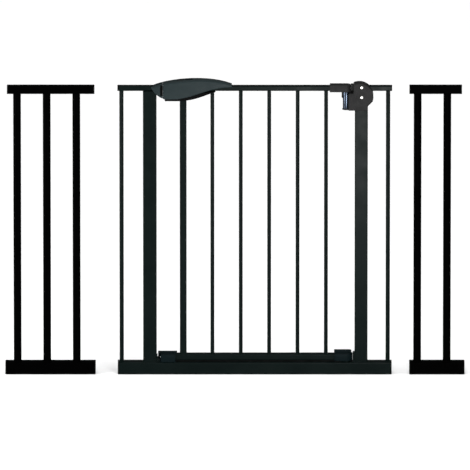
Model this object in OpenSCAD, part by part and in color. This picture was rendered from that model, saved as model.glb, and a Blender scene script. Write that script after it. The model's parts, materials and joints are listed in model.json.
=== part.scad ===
// Pressure-fit safety gate with a lift-and-swing door and two extension panels.
// +Z is up, +X runs along the gate, and the floor is at z = 0 under the middle of the kit.

/* [Gate frame] */
// Height from the floor to the top of the rails
gate_height = 760; // [740:1:790]
// Length of the base rail with its end plugs
gate_width = 706; // [700:1:712]
// Distance from the middle of the kit to the middle of the gate
gate_shift = 51; // [48:1:54]
// Depth of the base rails, front to back
base_depth = 34; // [32:1:38]
// Height of the base rails
base_height = 31.5; // [30:0.5:34]
// Height of the gate's top rails
rail_height = 13.5; // [12.5:0.5:15]
// Depth of the gate's top rails
rail_depth = 17; // [15:0.5:18]
// Width of the hinge post
post_width = 33.5; // [32:0.5:35]
// Width of the latch post
latch_post_width = 35; // [33:0.5:36]
// Depth of the two posts
post_depth = 28; // [26:0.5:28]
// Diameter of the outer bars
outer_bar_d = 11; // [10:0.5:12]
// Wall of the square tubes
tube_wall = 1.5; // [1.2:0.1:2]

/* [Door] */
// Distance between the centres of the door's bars
bar_pitch = 73.1; // [72:0.1:74]
// Diameter of the door's bars
door_bar_d = 10; // [9:0.5:11]
// Width of the stile under the handle
stile_width = 17.5; // [16:0.5:18]
// Height of the door's bottom rail
sill_height = 15; // [14:0.5:16]
// Depth of the door's bottom rail
sill_depth = 24; // [22:0.5:24]
// Gap between the base rail and the door
sill_gap = 5.5; // [5:0.5:7]
// How far the door lifts to clear its catches
lift = 10; // [8:1:12]

/* [Handle] */
// Depth of the handle at its thick end
handle_depth = 40; // [38:1:42]
// Wall of the handle's shells
shell_wall = 3; // [2.5:0.5:3.5]
// How far the lock bolt reaches into the keeper
bolt_reach = 10; // [8:1:11]

/* [Hinge] */
// Radius of the upper hinge pin
pin_r = 4; // [3.5:0.5:4.5]
// Outside radius of the hinge barrel
barrel_r = 9.2; // [9:0.1:9.4]
// Radial play of the turning fits
play = 0.05; // [0.02:0.01:0.08]

/* [Extension panels] */
// Height of the panels' top rails
panel_rail_height = 21; // [20:0.5:22]
// Depth of the panels' top rails
panel_rail_depth = 22; // [20:0.5:24]
// Diameter of the panels' bars
panel_bar_d = 20; // [18:0.5:21]
// Distance between the centres of the panels' bars
panel_pitch = 76.2; // [75:0.1:77]

/* [Hidden] */
$fn = 64;
eps = 0.01;

frame_black = [0.09, 0.11, 0.10];
panel_black = [0.03, 0.03, 0.03];
housing_grey = [0.20, 0.20, 0.21];
handle_slate = [0.18, 0.22, 0.23];
steel = [0.75, 0.77, 0.80];
dark_steel = [0.12, 0.14, 0.18];
nylon = [0.85, 0.85, 0.82];

// Levels
rail_bottom = gate_height - rail_height;
rail_mid = gate_height - rail_height / 2;
base_mid = base_height / 2;
sill_bottom = base_height + sill_gap;
sill_top = sill_bottom + sill_height;

// Places along the gate
gate_left = gate_shift - gate_width / 2;
gate_right = gate_shift + gate_width / 2;
latch_post_edge = gate_left + 100.5;
latch_post_x = latch_post_edge - latch_post_width / 2;
hinge_post_x = gate_right - 79;
hinge_post_edge = hinge_post_x - post_width / 2;
outer_bar_inset = 10.2;
hinge_x = hinge_post_edge - 22;
bar_start = hinge_x - 51.9 - 4 * bar_pitch;
stile_x = bar_start - 75.1;

// End plugs: a flange outside the tube and a drilled body inside it
plug_flange = 3;
plug_body = 20;
plug_bore_r = 4.2;
plug_gap = 0.1;
corner_r = 2.5;
bar_wall = 1;

// Handle and keeper
seam_x = hinge_x - 472.4;
seam_gap = 1;
keeper_left = seam_x - 29.3;
handle_right = hinge_x - 294.2;
tip_z = gate_height - 2.7;
bolt_size = 8;
insert_depth = 26;
insert_bottom = gate_height - 39.8;
buffer_inset = 0.8;
keeper_screw_at = [keeper_left + 19.5, rail_mid - 13];
rail_start = seam_x + 21;
bolt_travel = bolt_reach + 0.8;

screw_places = [seam_x + 16, seam_x + 68];
screw_z = gate_height - 21;
screw_seat = handle_depth / 2 - 5;

// Lock: button, its neck, and the return spring
tray_floor = gate_height + 10.5;
button_x = seam_x + 38;
neck_x = seam_x + 44;
spring_start = seam_x + 60.5;
spring_length = 26;
spring_stop = spring_start + spring_length + 0.6;
spring_turns = 6;
spring_r = 2.2;
wire_r = 0.5;
spring_z = gate_height + 4.75;

// Hinge
boss_r = 12;
boss_top = rail_bottom - 2.5;
boss_bottom = boss_top - 16;
cap_top = gate_height + 3;
cap_left = hinge_x - 42.4;
barrel_top = boss_top - 0.4;
housing_depth = 34;
housing_bottom = boss_bottom - 31.5;
housing_face_wall = 2.8;
housing_r = 36;
housing_axis = [hinge_x + 33.7, gate_height - 27.8];
housing_left = hinge_x + 18.7;
foot_left = hinge_x + 5.3;
cut_rise = 11.5;
shoulder = boss_top - 2.5;
web_left = hinge_x + boss_r + 0.4;
bolt_x = hinge_post_x + 1;
screw_levels = [gate_height - 3, gate_height - 29];
screw_r = 2;
screw_head_r = 3.8;

// Mouldings on the ends of the door's bottom rail
hinge_block_r = 17;
hinge_block_left = hinge_x - 29.5;
block_bottom = sill_bottom - 1.5;
latch_block_left = seam_x - 5.5;
latch_block_right = seam_x + 33;
catch_top = base_height + 10;
bracket_gap = 0.3;

// Panels
left_panel_base = [-592, 233];
left_panel_top = [-586, 225];
left_panel_first_bar = -560.2;
right_panel_base = [449.5, 142.5];
right_panel_top = [448.5, 135];
right_panel_first_bar = 469.8;

// --- Helpers ---

// Rectangle with round corners
module rounded_rect(w, h, r) {
    square([w - 2 * r, h], center = true);
    square([w, h - 2 * r], center = true);
    for (x = [-1, 1], y = [-1, 1]) {
        translate([x * (w / 2 - r), y * (h / 2 - r)]) circle(r);
    }
}

// Wall of a square tube in section
module tube_section(w, h, wall = tube_wall) {
    difference() {
        rounded_rect(w, h, corner_r);
        rounded_rect(w - 2 * wall, h - 2 * wall, corner_r - wall / 2);
    }
}

// Lays a section drawn in Y and Z along X, from x
module along_x(x, z, length) {
    translate([x, 0, z]) rotate([90, 0, 90]) linear_extrude(length) children();
}

// Stands an outline drawn in X and Z up, from y_low to y_high
module slab(y_low, y_high) {
    translate([0, y_high, 0]) rotate([90, 0, 0]) linear_extrude(y_high - y_low) children();
}

// Square tube along X with room for the flanges of its end plugs
module plugged_rail(x, z, length, depth, height, left_plug = true, right_plug = true) {
    left = left_plug ? plug_flange : 0;
    right = right_plug ? plug_flange : 0;
    along_x(x + left, z, length - left - right) tube_section(depth, height);
}

// Plug with its flange's outer face at x, entering towards +X or -X, and drilled at bore_z
module end_plug(x, z, depth, height, towards, bore_z) {
    inner_w = depth - 2 * tube_wall - 2 * plug_gap;
    inner_h = height - 2 * tube_wall - 2 * plug_gap;
    flange_x = towards > 0 ? x : x - plug_flange;
    body_x = towards > 0 ? x + plug_flange : x - plug_flange - plug_body;
    difference() {
        union() {
            along_x(flange_x, z, plug_flange) rounded_rect(depth, height, corner_r);
            along_x(body_x, z, plug_body) rounded_rect(inner_w, inner_h, 1.8);
        }
        translate([x - 30, 0, bore_z]) rotate([0, 90, 0]) cylinder(r = plug_bore_r, h = 60);
    }
}

// Upright square tube
module upright_tube(x, z_low, z_high, w, d) {
    translate([x, 0, z_low]) linear_extrude(z_high - z_low) tube_section(w, d);
}

// Upright round tube
module round_bar(x, z_low, z_high, d) {
    translate([x, 0, z_low]) difference() {
        cylinder(d = d, h = z_high - z_low);
        translate([0, 0, -1]) cylinder(d = d - 2 * bar_wall, h = z_high - z_low + 2);
    }
}

// Solid block between two corners
module block(low, high) {
    translate(low) cube(high - low);
}

// Round rod along Y
module rod_y(x, z, r, y_low, y_high) {
    translate([x, y_high, z]) rotate([90, 0, 0]) cylinder(r = r, h = y_high - y_low);
}

// Point on a cubic curve
function cubic(p, t) =
    pow(1 - t, 3) * p[0] + 3 * t * pow(1 - t, 2) * p[1]
    + 3 * t * t * (1 - t) * p[2] + pow(t, 3) * p[3];
function curve(p, steps) = [for (i = [0:steps]) cubic(p, i / steps)];

// --- Frame ---

module base_rail() {
    color(frame_black)
        plugged_rail(gate_left, base_mid, gate_width, base_depth, base_height);
}

module base_end_plugs() {
    color(housing_grey) {
        end_plug(gate_left, base_mid, base_depth, base_height, 1, base_mid);
        end_plug(gate_right, base_mid, base_depth, base_height, -1, base_mid);
    }
}

module stub_end_plugs() {
    color(housing_grey) {
        end_plug(gate_left, rail_mid, rail_depth, rail_height, 1, rail_mid);
        end_plug(gate_right, rail_mid, rail_depth, rail_height, -1, rail_mid);
    }
}

// Bores for the two housing screws, through the post and the stub rail
module screw_bores() {
    for (z = screw_levels) rod_y(bolt_x, z, screw_r + 0.2, -30, 30);
}

module latch_post() {
    color(frame_black) upright_tube(latch_post_x, base_height, rail_bottom, latch_post_width, post_depth);
}

module hinge_post() {
    color(frame_black) difference() {
        upright_tube(hinge_post_x, base_height, rail_bottom, post_width, post_depth);
        screw_bores();
    }
}

module left_stub_rail() {
    color(frame_black)
        plugged_rail(gate_left, rail_mid, latch_post_edge - gate_left, rail_depth, rail_height,
                     right_plug = false);
}

module right_stub_rail() {
    color(frame_black) difference() {
        plugged_rail(hinge_post_edge, rail_mid, gate_right - hinge_post_edge, rail_depth,
                     rail_height, left_plug = false);
        screw_bores();
    }
}

module left_outer_bar() {
    color(frame_black) round_bar(gate_left + outer_bar_inset, base_height, rail_bottom, outer_bar_d);
}

module right_outer_bar() {
    color(frame_black) round_bar(gate_right - outer_bar_inset, base_height, rail_bottom, outer_bar_d);
}

// --- Handle and keeper outline ---

// Upper edge of the leaf, from the keeper's tip to the handle's tip
function leaf_upper(inset) = curve([
    [keeper_left + 2 * inset, tip_z],
    [keeper_left + 42, gate_height + 17 - inset],
    [handle_right - 59.5, gate_height + 27.5 - inset],
    [handle_right - 2 - 7 * inset, gate_height + 5.2]
], 20);

// Lower edge of the leaf, from the handle's tip to its heel
function leaf_lower(inset) = curve([
    [handle_right - 7 * inset, gate_height - 4 + inset],
    [handle_right - 62, gate_height - 4 + inset],
    [handle_right - 87, gate_height - 27 + inset],
    [handle_right - 142, gate_height - 34 + inset]
], 16);

// Lower left edge, from the heel up to the keeper's tip
function leaf_heel(inset) = curve([
    [seam_x + 7, gate_height - 34 + inset],
    [seam_x - 8, gate_height - 31 + inset],
    [keeper_left + 5, gate_height - 17 + inset],
    [keeper_left + 2 * inset, tip_z - 0.1]
], 10);

module leaf() {
    polygon(concat(leaf_upper(0), leaf_lower(0), leaf_heel(0)));
}

// Hollow inside the leaf, one wall smaller all round
module leaf_hollow() {
    polygon(concat(leaf_upper(shell_wall), leaf_lower(shell_wall), leaf_heel(shell_wall)));
}

// Outline of the leaf seen from above: full at the latch end, slim at the tip
module leaf_plan(inset = 0) {
    half = handle_depth / 2 - inset;
    side = curve([[keeper_left, half - 3], [seam_x - 10, half + 0.5],
                  [seam_x + 70, half + 0.5], [handle_right, half - 8.5]], 16);
    back = [for (i = [16:-1:0]) [side[i][0], -side[i][1]]];
    polygon(concat(side, back));
}

// Leaf-shaped solid between two places along X
module leaf_solid(x_low, x_high) {
    intersection() {
        slab(-30, 30) leaf();
        translate([0, 0, 700]) linear_extrude(120) leaf_plan();
        block([x_low, -30, 700], [x_high, 30, 820]);
    }
}

module leaf_core(x_low, x_high) {
    intersection() {
        slab(-30, 30) leaf_hollow();
        translate([0, 0, 700]) linear_extrude(120) leaf_plan(shell_wall);
        block([x_low, -30, 700], [x_high, 30, 820]);
    }
}

// --- Keeper ---

// The whole keeper before it is split front from back
module keeper_body() {
    difference() {
        leaf_solid(keeper_left, seam_x);
        block([keeper_left - 5, -post_depth / 2, 700], [latch_post_edge, post_depth / 2, rail_bottom]);
        block([keeper_left - 5, -rail_depth / 2, rail_bottom - eps],
              [latch_post_edge, rail_depth / 2, gate_height]);
        // Pocket for the lock bolt, open towards the handle
        block([seam_x - bolt_reach - 3, -6, rail_mid - 7], [seam_x + 1, 6, rail_mid + 7 + lift]);
        // Window in both faces at the seam
        for (y = [-handle_depth / 2, handle_depth / 2]) {
            block([seam_x - 6.2, y - 3, rail_mid - 18], [seam_x + 1, y + 3, rail_mid + 7]);
        }
        rod_y(keeper_screw_at[0], keeper_screw_at[1], screw_r, -screw_seat, 30);
        rod_y(keeper_screw_at[0], keeper_screw_at[1], screw_r + 2, screw_seat, 30);
    }
}

module keeper_front() {
    color(handle_slate) intersection() {
        keeper_body();
        block([keeper_left - 5, -30, 700], [seam_x + 5, 0, 820]);
    }
}

module keeper_rear() {
    color(handle_slate) intersection() {
        keeper_body();
        block([keeper_left - 5, 0, 700], [seam_x + 5, 30, 820]);
    }
}

module keeper_screw() {
    color(steel) {
        rod_y(keeper_screw_at[0], keeper_screw_at[1], screw_r - eps, -screw_seat + 0.5, screw_seat);
        rod_y(keeper_screw_at[0], keeper_screw_at[1], screw_r + 1.8, screw_seat, screw_seat + 2);
    }
}

// Soft strip on the face that looks at the handle, thin enough to stay clear of it
module keeper_buffer() {
    color(panel_black) seam_strip(seam_x, seam_x + 0.35, 8);
}

// Strip in the shape of the leaf's section, a little smaller all round, against one side
module seam_strip(x_low, x_high, y_low) {
    intersection() {
        slab(y_low, y_low + 4) polygon(concat(
            leaf_upper(buffer_inset), leaf_lower(buffer_inset), leaf_heel(buffer_inset)
        ));
        block([x_low, -30, 700], [x_high, 30, 820]);
    }
}

// Block on the latch post with a tab that stands in the slot of the door's latch block
module bottom_catch() {
    color(frame_black) {
        block([latch_post_edge, -9, base_height], [latch_post_edge + 2, 9, base_height + 18]);
        block([latch_post_edge, -13, base_height], [latch_post_edge + 8.5, 13, catch_top]);
        block([latch_post_edge, -2.5, base_height], [latch_post_edge + 14, 2.5, catch_top]);
        for (i = [0:2]) {
            block([latch_post_edge - 8, -post_depth / 2 - 1.6, base_height + 2 + 6 * i],
                  [latch_post_edge + 3.6, -post_depth / 2, base_height + 4.5 + 6 * i]);
            block([latch_post_edge - 8, post_depth / 2, base_height + 2 + 6 * i],
                  [latch_post_edge + 2, post_depth / 2 + 1.6, base_height + 4.5 + 6 * i]);
        }
        for (y = [-post_depth / 2 - 1.6, 9 - eps]) {
            block([latch_post_edge, y, base_height + 2],
                  [latch_post_edge + 2, y + post_depth / 2 - 7.4 + eps, base_height + 16.5]);
        }
    }
}

// --- Hinge on the post ---

// Face of the housing: a disc over the post with a straight foot and a chamfered corner
module housing_face() {
    difference() {
        union() {
            intersection() {
                translate(housing_axis) circle(housing_r, $fn = 96);
                translate([housing_left, housing_bottom]) square([80, 90]);
            }
            translate([foot_left, housing_bottom])
                square([hinge_post_x + post_width / 2 - foot_left, shoulder - housing_bottom]);
        }
        // Straight cut below the disc
        polygon([
            [hinge_post_x + post_width / 2, housing_bottom - 10],
            [hinge_post_x + post_width / 2, housing_bottom + cut_rise],
            [hinge_post_x + post_width / 2 + 20, housing_bottom + cut_rise + 20],
            [hinge_post_x + 60, housing_bottom + cut_rise + 20],
            [hinge_post_x + 60, housing_bottom - 10]
        ]);
    }
}

module housing_body() {
    side = housing_depth / 2;
    difference() {
        union() {
            slab(-side, side) housing_face();
            // Lip under the barrel
            translate([hinge_x, 0, housing_bottom]) cylinder(r = barrel_r + 1.3, h = 3);
            block([hinge_x, -barrel_r - 1.3, housing_bottom],
                  [hinge_x + 10, barrel_r + 1.3, housing_bottom + 3]);
            // Set-back web that closes the gap beside the door's cap
            block([web_left, 3, shoulder - eps], [housing_left + eps, side, gate_height + 1.5]);
        }
        block([hinge_post_edge, -post_depth / 2, housing_bottom - 1],
              [hinge_post_x + post_width / 2, post_depth / 2, rail_bottom]);
        block([hinge_post_edge, -rail_depth / 2, rail_bottom - eps],
              [hinge_post_x + 60, rail_depth / 2, gate_height]);
        // Hollow beside the post
        block([hinge_post_x + post_width / 2 - eps, -side + housing_face_wall,
               housing_bottom + cut_rise + 14],
              [hinge_post_x + 25, side - housing_face_wall, rail_bottom - 2]);
        // Well for the barrel and for the cap's lug round its upper end
        translate([hinge_x, 0, housing_bottom + 3])
            cylinder(r = barrel_r, h = boss_bottom - housing_bottom - 3.4);
        translate([hinge_x, 0, boss_bottom - 0.4]) cylinder(r = boss_r + 0.8, h = 60);
        block([hinge_x, -4, housing_bottom + 4], [hinge_post_edge + eps, 4, boss_bottom - 2]);
        screw_bores();
        // Seats for the screw heads and the nuts
        for (z = screw_levels) {
            rod_y(bolt_x, z, screw_head_r + 0.5, -side - 1, -side + 1.2);
            rod_y(bolt_x, z, 5, side - 1.2, side + 1);
        }
    }
}

module hinge_housing_front() {
    color(housing_grey) intersection() {
        housing_body();
        block([hinge_x - 30, -30, 600], [gate_right, 0, 800]);
    }
}

module hinge_housing_rear() {
    color(housing_grey) intersection() {
        housing_body();
        block([hinge_x - 30, 0, 600], [gate_right, 30, 800]);
    }
}

module housing_screws() {
    side = housing_depth / 2;
    color(steel) for (z = screw_levels) difference() {
        union() {
            rod_y(bolt_x, z, screw_r, -side + 1.2, side);
            rod_y(bolt_x, z, screw_head_r, -side - 0.9, -side + 1.2);
        }
        block([bolt_x - 3, -side - 2, z - 0.5], [bolt_x + 3, -side - 0.1, z + 0.5]);
        block([bolt_x - 0.5, -side - 2, z - 3], [bolt_x + 0.5, -side - 0.1, z + 3]);
    }
}

module housing_nuts() {
    side = housing_depth / 2;
    color(steel) for (z = screw_levels) difference() {
        translate([bolt_x, side + 1.6, z]) rotate([90, 0, 0]) cylinder(r = 4, h = 2.8, $fn = 6);
        rod_y(bolt_x, z, screw_r, 0, 30);
    }
}

// Polished barrel with the web that holds it to the post
module hinge_barrel() {
    low = housing_bottom + 3;
    color(dark_steel) translate([hinge_x, 0, 0]) difference() {
        union() {
            translate([0, 0, low]) cylinder(r = barrel_r, h = barrel_top - low);
            block([0, -4, low + 1], [hinge_post_edge - hinge_x, 4, boss_bottom - 2]);
        }
        translate([0, 0, low - 1]) cylinder(r = pin_r + 2 + play, h = barrel_top - low + 2);
    }
}

// Sleeve that turns in the barrel; its flat keys it to the pin, which slides in it
module hinge_sleeve() {
    low = housing_bottom + 3.3;
    color(steel) translate([hinge_x, 0, low]) difference() {
        cylinder(r = pin_r + 2, h = barrel_top - low);
        translate([0, 0, -1]) difference() {
            cylinder(r = pin_r + play, h = barrel_top - low + 2);
            block([pin_r * 0.8 + play, -10, 0], [20, 10, 80]);
        }
    }
}

module lower_hinge_pin() {
    color(steel) translate([hinge_x, 0, base_height]) {
        cylinder(r = 11, h = 2.5);
        cylinder(r = pin_r, h = 18.5);
    }
}

// Block between the post and the lower pin's collar, with a weld fillet in front
module lower_hinge_bracket() {
    left = hinge_x + hinge_block_r + bracket_gap;
    color(frame_black) {
        block([left, -13, base_height], [hinge_post_edge, 13, base_height + 24]);
        slab(-post_depth / 2, -13 + eps) polygon([
            [left - 4, base_height],
            [hinge_post_edge, base_height],
            [hinge_post_edge, block_bottom - 0.4]
        ]);
    }
}

// --- Door ---

module door_top_rail() {
    color(frame_black)
        along_x(rail_start, rail_mid, hinge_x - 14 - rail_start) tube_section(rail_depth, rail_height);
}

module door_bottom_rail() {
    start = latch_block_right;
    color(frame_black)
        along_x(start, sill_bottom + sill_height / 2, hinge_x - 18 - start)
            tube_section(sill_depth, sill_height);
}

module door_stile() {
    color(frame_black) upright_tube(stile_x, sill_top, rail_bottom, stile_width, rail_depth);
}

module door_bar(i) {
    color(frame_black) round_bar(bar_start + (i - 1) * bar_pitch, sill_top, rail_bottom, door_bar_d);
}

// Collar round the barrel's upper end, open at the front
module cap_lug() {
    translate([hinge_x, 0, boss_bottom]) linear_extrude(boss_top - boss_bottom + eps) difference() {
        circle(boss_r);
        circle(barrel_r + 0.4);
        polygon([[0, 0], [-30, -18], [-30, -40], [30, -40], [30, -18]]);
    }
}

// Moulded end of the top rail, with a round end over the barrel and a lug that reaches down
module hinge_cap() {
    color(housing_grey) difference() {
        union() {
            block([cap_left, -boss_r, boss_top], [hinge_x, boss_r, cap_top]);
            translate([hinge_x, 0, boss_top]) cylinder(r = boss_r, h = cap_top - boss_top);
            cap_lug();
        }
        block([cap_left - 1, -rail_depth / 2, rail_bottom], [hinge_x - 14, rail_depth / 2, gate_height]);
        translate([hinge_x, 0, boss_top - 1]) cylinder(r = pin_r, h = 9);
    }
}

module hinge_pin() {
    low = housing_bottom + 4;
    high = boss_top + 8;
    color(steel) translate([hinge_x, 0, 0]) difference() {
        translate([0, 0, low]) cylinder(r = pin_r, h = high - low);
        // Flat that keys the pin to the sleeve
        block([pin_r * 0.8, -10, low - 1], [20, 10, boss_top - 0.2]);
    }
}

// Moulded end of the bottom rail, round about the hinge and stepped up at the back
module bottom_hinge_block() {
    left = hinge_block_left;
    r = hinge_block_r;
    top = sill_top + 2;
    color(housing_grey) difference() {
        union() {
            block([left, -r, block_bottom], [hinge_x, r, top]);
            translate([hinge_x, 0, block_bottom]) cylinder(r = r, h = top - block_bottom);
            block([left - 1, 4, top - eps], [hinge_x, 15.5, sill_top + 7.5]);
            intersection() {
                block([hinge_x - eps, 4, top - eps], [hinge_x + 14, 15.5, sill_top + 7.5]);
                translate([hinge_x, 0, block_bottom]) cylinder(r = r, h = 40);
            }
        }
        block([left - 2, -sill_depth / 2, sill_bottom], [hinge_x - 18, sill_depth / 2, sill_top]);
        translate([hinge_x, 0, block_bottom - 1])
            cylinder(r = pin_r + 2.5, h = sill_top - block_bottom + 1);
    }
}

module bottom_hinge_bush() {
    color(nylon) translate([hinge_x, 0, block_bottom]) difference() {
        cylinder(r = pin_r + 2.5, h = sill_top - block_bottom);
        translate([0, 0, -1]) cylinder(r = pin_r + 0.08, h = sill_top - block_bottom - 0.5);
    }
}

// Moulded end of the bottom rail on the latch side, with a slot that drops over the catch
module bottom_latch_block() {
    left = latch_block_left;
    right = latch_block_right;
    low = base_height + 0.8;
    color(handle_slate) difference() {
        union() {
            block([left, -18, low], [right, 18, sill_top]);
            block([left - 6.5, 2, catch_top + 0.5], [right + 4, 18, sill_top + 3]);
            block([right - 4, -15, sill_top - eps], [right + 4, 3, sill_top + 1.5]);
        }
        block([right, -sill_depth / 2, sill_bottom], [right + 20, sill_depth / 2, sill_top]);
        block([right, -16, sill_bottom], [right + 20, -sill_depth / 2 + 1, sill_top]);
        block([left - 20, -3.3, low - 1], [left + 12, 3.3, catch_top + 0.5]);
    }
}

// --- Handle ---

// Room for the rail, the stile, the insert and the lock inside the handle
module handle_rooms() {
    block([rail_start, -rail_depth / 2, rail_bottom], [handle_right + 5, rail_depth / 2, gate_height]);
    block([stile_x - stile_width / 2, -rail_depth / 2, 700],
          [stile_x + stile_width / 2, rail_depth / 2, rail_bottom + eps]);
    // Slot for the thumb slider's neck
    block([neck_x - 0.6, -4, gate_height], [neck_x + 8 + bolt_travel + 0.6, 4, gate_height + 40]);
    // Tray for its button
    block([button_x - 1, -9.5, tray_floor], [button_x + 28 + bolt_travel + 1, 9.5, gate_height + 40]);
}

// Floor of the button's tray, and the rib that the return spring pushes on
module handle_ribs() {
    intersection() {
        union() {
            block([button_x - 4, -13, tray_floor - 2.2],
                  [button_x + 32 + bolt_travel, 13, gate_height + 40]);
            block([spring_stop, -13, gate_height], [spring_stop + 3, 13, gate_height + 40]);
        }
        leaf_solid(seam_x + seam_gap, handle_right);
    }
}

// Lower edge of the dark insert under the grip
function insert_lower() = curve([
    [handle_right - 37, gate_height - 14],
    [handle_right - 67, gate_height - 22],
    [handle_right - 92, insert_bottom],
    [handle_right - 142, insert_bottom]
], 12);

module insert_outline() {
    polygon(concat(
        insert_lower(),
        [[seam_x + 6, insert_bottom], [seam_x + 3, gate_height - 26]],
        [[handle_right - 142, gate_height - 26], [handle_right - 87, gate_height - 19]]
    ));
}

module handle_body() {
    difference() {
        union() {
            difference() {
                leaf_solid(seam_x + seam_gap, handle_right);
                leaf_core(seam_x + seam_gap + shell_wall, handle_right - 22);
            }
            handle_ribs();
        }
        slab(-insert_depth / 2, insert_depth / 2) insert_outline();
        // Mouth for the lock bolt
        block([seam_x - 1, -4.3, rail_mid - 4.3], [seam_x + 8, 4.3, rail_mid + 4.3]);
        handle_rooms();
    }
}

// Pillars for the handle's screws
module screw_pillars(y_low, y_high) {
    intersection() {
        for (x = screw_places) rod_y(x, screw_z, 4.5, y_low, y_high);
        leaf_solid(seam_x + seam_gap, handle_right);
    }
}

module handle_front() {
    color(handle_slate) difference() {
        union() {
            intersection() {
                handle_body();
                block([seam_x, -30, 700], [handle_right + 5, 0, 820]);
            }
            screw_pillars(-screw_seat - 2, -insert_depth / 2);
        }
        for (x = screw_places) rod_y(x, screw_z, screw_r, -screw_seat - 0.5, 30);
    }
}

module handle_rear() {
    color(handle_slate) difference() {
        union() {
            intersection() {
                handle_body();
                block([seam_x, 0, 700], [handle_right + 5, 30, 820]);
            }
            screw_pillars(insert_depth / 2, screw_seat + 2);
        }
        for (x = screw_places) {
            rod_y(x, screw_z, screw_r, 0, 30);
            rod_y(x, screw_z, screw_r + 2, screw_seat, 30);
        }
    }
}

module handle_grip_insert() {
    half = insert_depth / 2;
    color(panel_black) difference() {
        slab(-half, half) insert_outline();
        block([stile_x - stile_width / 2, -rail_depth / 2, 700],
              [stile_x + stile_width / 2, rail_depth / 2, rail_bottom]);
        block([rail_start, -rail_depth / 2, rail_bottom], [handle_right, rail_depth / 2, gate_height]);
        for (x = screw_places) rod_y(x, screw_z, screw_r + 0.2, -30, 30);
        translate([bar_start, 0, 700]) cylinder(d = door_bar_d, h = 80);
    }
}

module handle_screws() {
    color(steel) for (x = screw_places) {
        rod_y(x, screw_z, screw_r - eps, -screw_seat, screw_seat);
        rod_y(x, screw_z, screw_r + 1.8, screw_seat, screw_seat + 1.8);
    }
}

// Soft strip on the handle's end, across the seam from the keeper's
module handle_buffer() {
    color(panel_black) seam_strip(seam_x + 0.55, seam_x + seam_gap, -12);
}

// --- Lock ---

// Button in the top of the handle with the neck that drives the bolt
module thumb_slider() {
    low = tray_floor + 0.4;
    rib_start = button_x + 4.5;
    color(housing_grey) {
        block([button_x, -8.8, low], [button_x + 28, 8.8, low + 1.8]);
        for (i = [0:4]) {
            block([rib_start + 4.5 * i, -7, low + 1.7], [rib_start + 2 + 4.5 * i, 7, low + 2.6]);
        }
        block([neck_x, -3.6, gate_height + 6], [neck_x + 8, 3.6, low + eps]);
    }
}

// Bolt at rail height with a cranked plate that runs over the rail's end
module lock_bolt() {
    half = bolt_size / 2;
    color(steel) {
        block([seam_x - bolt_reach, -half, rail_mid - half], [seam_x + 8.5, half, rail_mid + half]);
        block([seam_x + 5.5, -half, rail_mid - half], [seam_x + 8.5, half, gate_height + 6]);
        block([seam_x + 5.5, -half, gate_height + 3.5], [spring_start - 0.5, half, gate_height + 6]);
    }
}

// Return spring between the plate's end and a rib in the handle
module bolt_spring() {
    steps = spring_turns * 12;
    sides = 6;
    rings = [for (i = [0:steps]) let (a = 360 * i / 12, x = spring_start + spring_length * i / steps)
        [for (j = [0:sides - 1]) let (b = 360 * j / sides, r = spring_r + wire_r * cos(b))
            [x + wire_r * sin(b), r * cos(a), spring_z + r * sin(a)]]];
    walls = [for (i = [0:steps - 1], j = [0:sides - 1])
        let (k = (j + 1) % sides, a = i * sides, b = (i + 1) * sides)
        each [[a + j, a + k, b + k], [a + j, b + k, b + j]]];
    ends = [[for (j = [sides - 1:-1:0]) j], [for (j = [0:sides - 1]) steps * sides + j]];
    color(steel) polyhedron([for (ring = rings) each ring], concat(walls, ends));
}

// --- Extension panels ---

module panel_top_rail(span) {
    color(panel_black)
        plugged_rail(span[0], gate_height - panel_rail_height / 2, span[1], panel_rail_depth,
                     panel_rail_height);
}

module panel_base_rail(span) {
    color(panel_black) plugged_rail(span[0], base_mid, span[1], base_depth, base_height);
}

module panel_bar(first, i) {
    color(panel_black)
        round_bar(first + (i - 1) * panel_pitch, base_height, gate_height - panel_rail_height, panel_bar_d);
}

module panel_plugs(span, z, depth, height, bore_z) {
    color(panel_black) {
        end_plug(span[0], z, depth, height, 1, bore_z);
        end_plug(span[0] + span[1], z, depth, height, -1, bore_z);
    }
}

// The top plugs are drilled at the level of the gate's own rails, so that their studs line up
module top_plugs(span) {
    panel_plugs(span, gate_height - panel_rail_height / 2, panel_rail_depth, panel_rail_height, rail_mid);
}

module base_plugs(span) {
    panel_plugs(span, base_mid, base_depth, base_height, base_mid);
}

// --- Nodes ---

base_rail();
base_end_plugs();
stub_end_plugs();
latch_post();
hinge_post();
left_stub_rail();
right_stub_rail();
left_outer_bar();
right_outer_bar();
keeper_front();
keeper_rear();
keeper_screw();
keeper_buffer();
bottom_catch();
hinge_housing_front();
hinge_housing_rear();
housing_screws();
housing_nuts();
hinge_barrel();
lower_hinge_pin();
lower_hinge_bracket();
hinge_sleeve();
door_top_rail();
door_bottom_rail();
door_stile();
door_bar(1);  // door_bar_1
door_bar(2);  // door_bar_2
door_bar(3);  // door_bar_3
door_bar(4);  // door_bar_4
door_bar(5);  // door_bar_5
hinge_cap();
hinge_pin();
bottom_hinge_block();
bottom_hinge_bush();
bottom_latch_block();
handle_front();
handle_rear();
handle_grip_insert();
handle_screws();
handle_buffer();
thumb_slider();
lock_bolt();
bolt_spring();
panel_top_rail(left_panel_top);  // left_panel_top_rail
panel_base_rail(left_panel_base);  // left_panel_base_rail
panel_bar(left_panel_first_bar, 1);  // left_panel_bar_1
panel_bar(left_panel_first_bar, 2);  // left_panel_bar_2
panel_bar(left_panel_first_bar, 3);  // left_panel_bar_3
top_plugs(left_panel_top);  // left_panel_top_plugs
base_plugs(left_panel_base);  // left_panel_base_plugs
panel_top_rail(right_panel_top);  // right_panel_top_rail
panel_base_rail(right_panel_base);  // right_panel_base_rail
panel_bar(right_panel_first_bar, 1);  // right_panel_bar_1
panel_bar(right_panel_first_bar, 2);  // right_panel_bar_2
top_plugs(right_panel_top);  // right_panel_top_plugs
base_plugs(right_panel_base);  // right_panel_base_plugs
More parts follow.
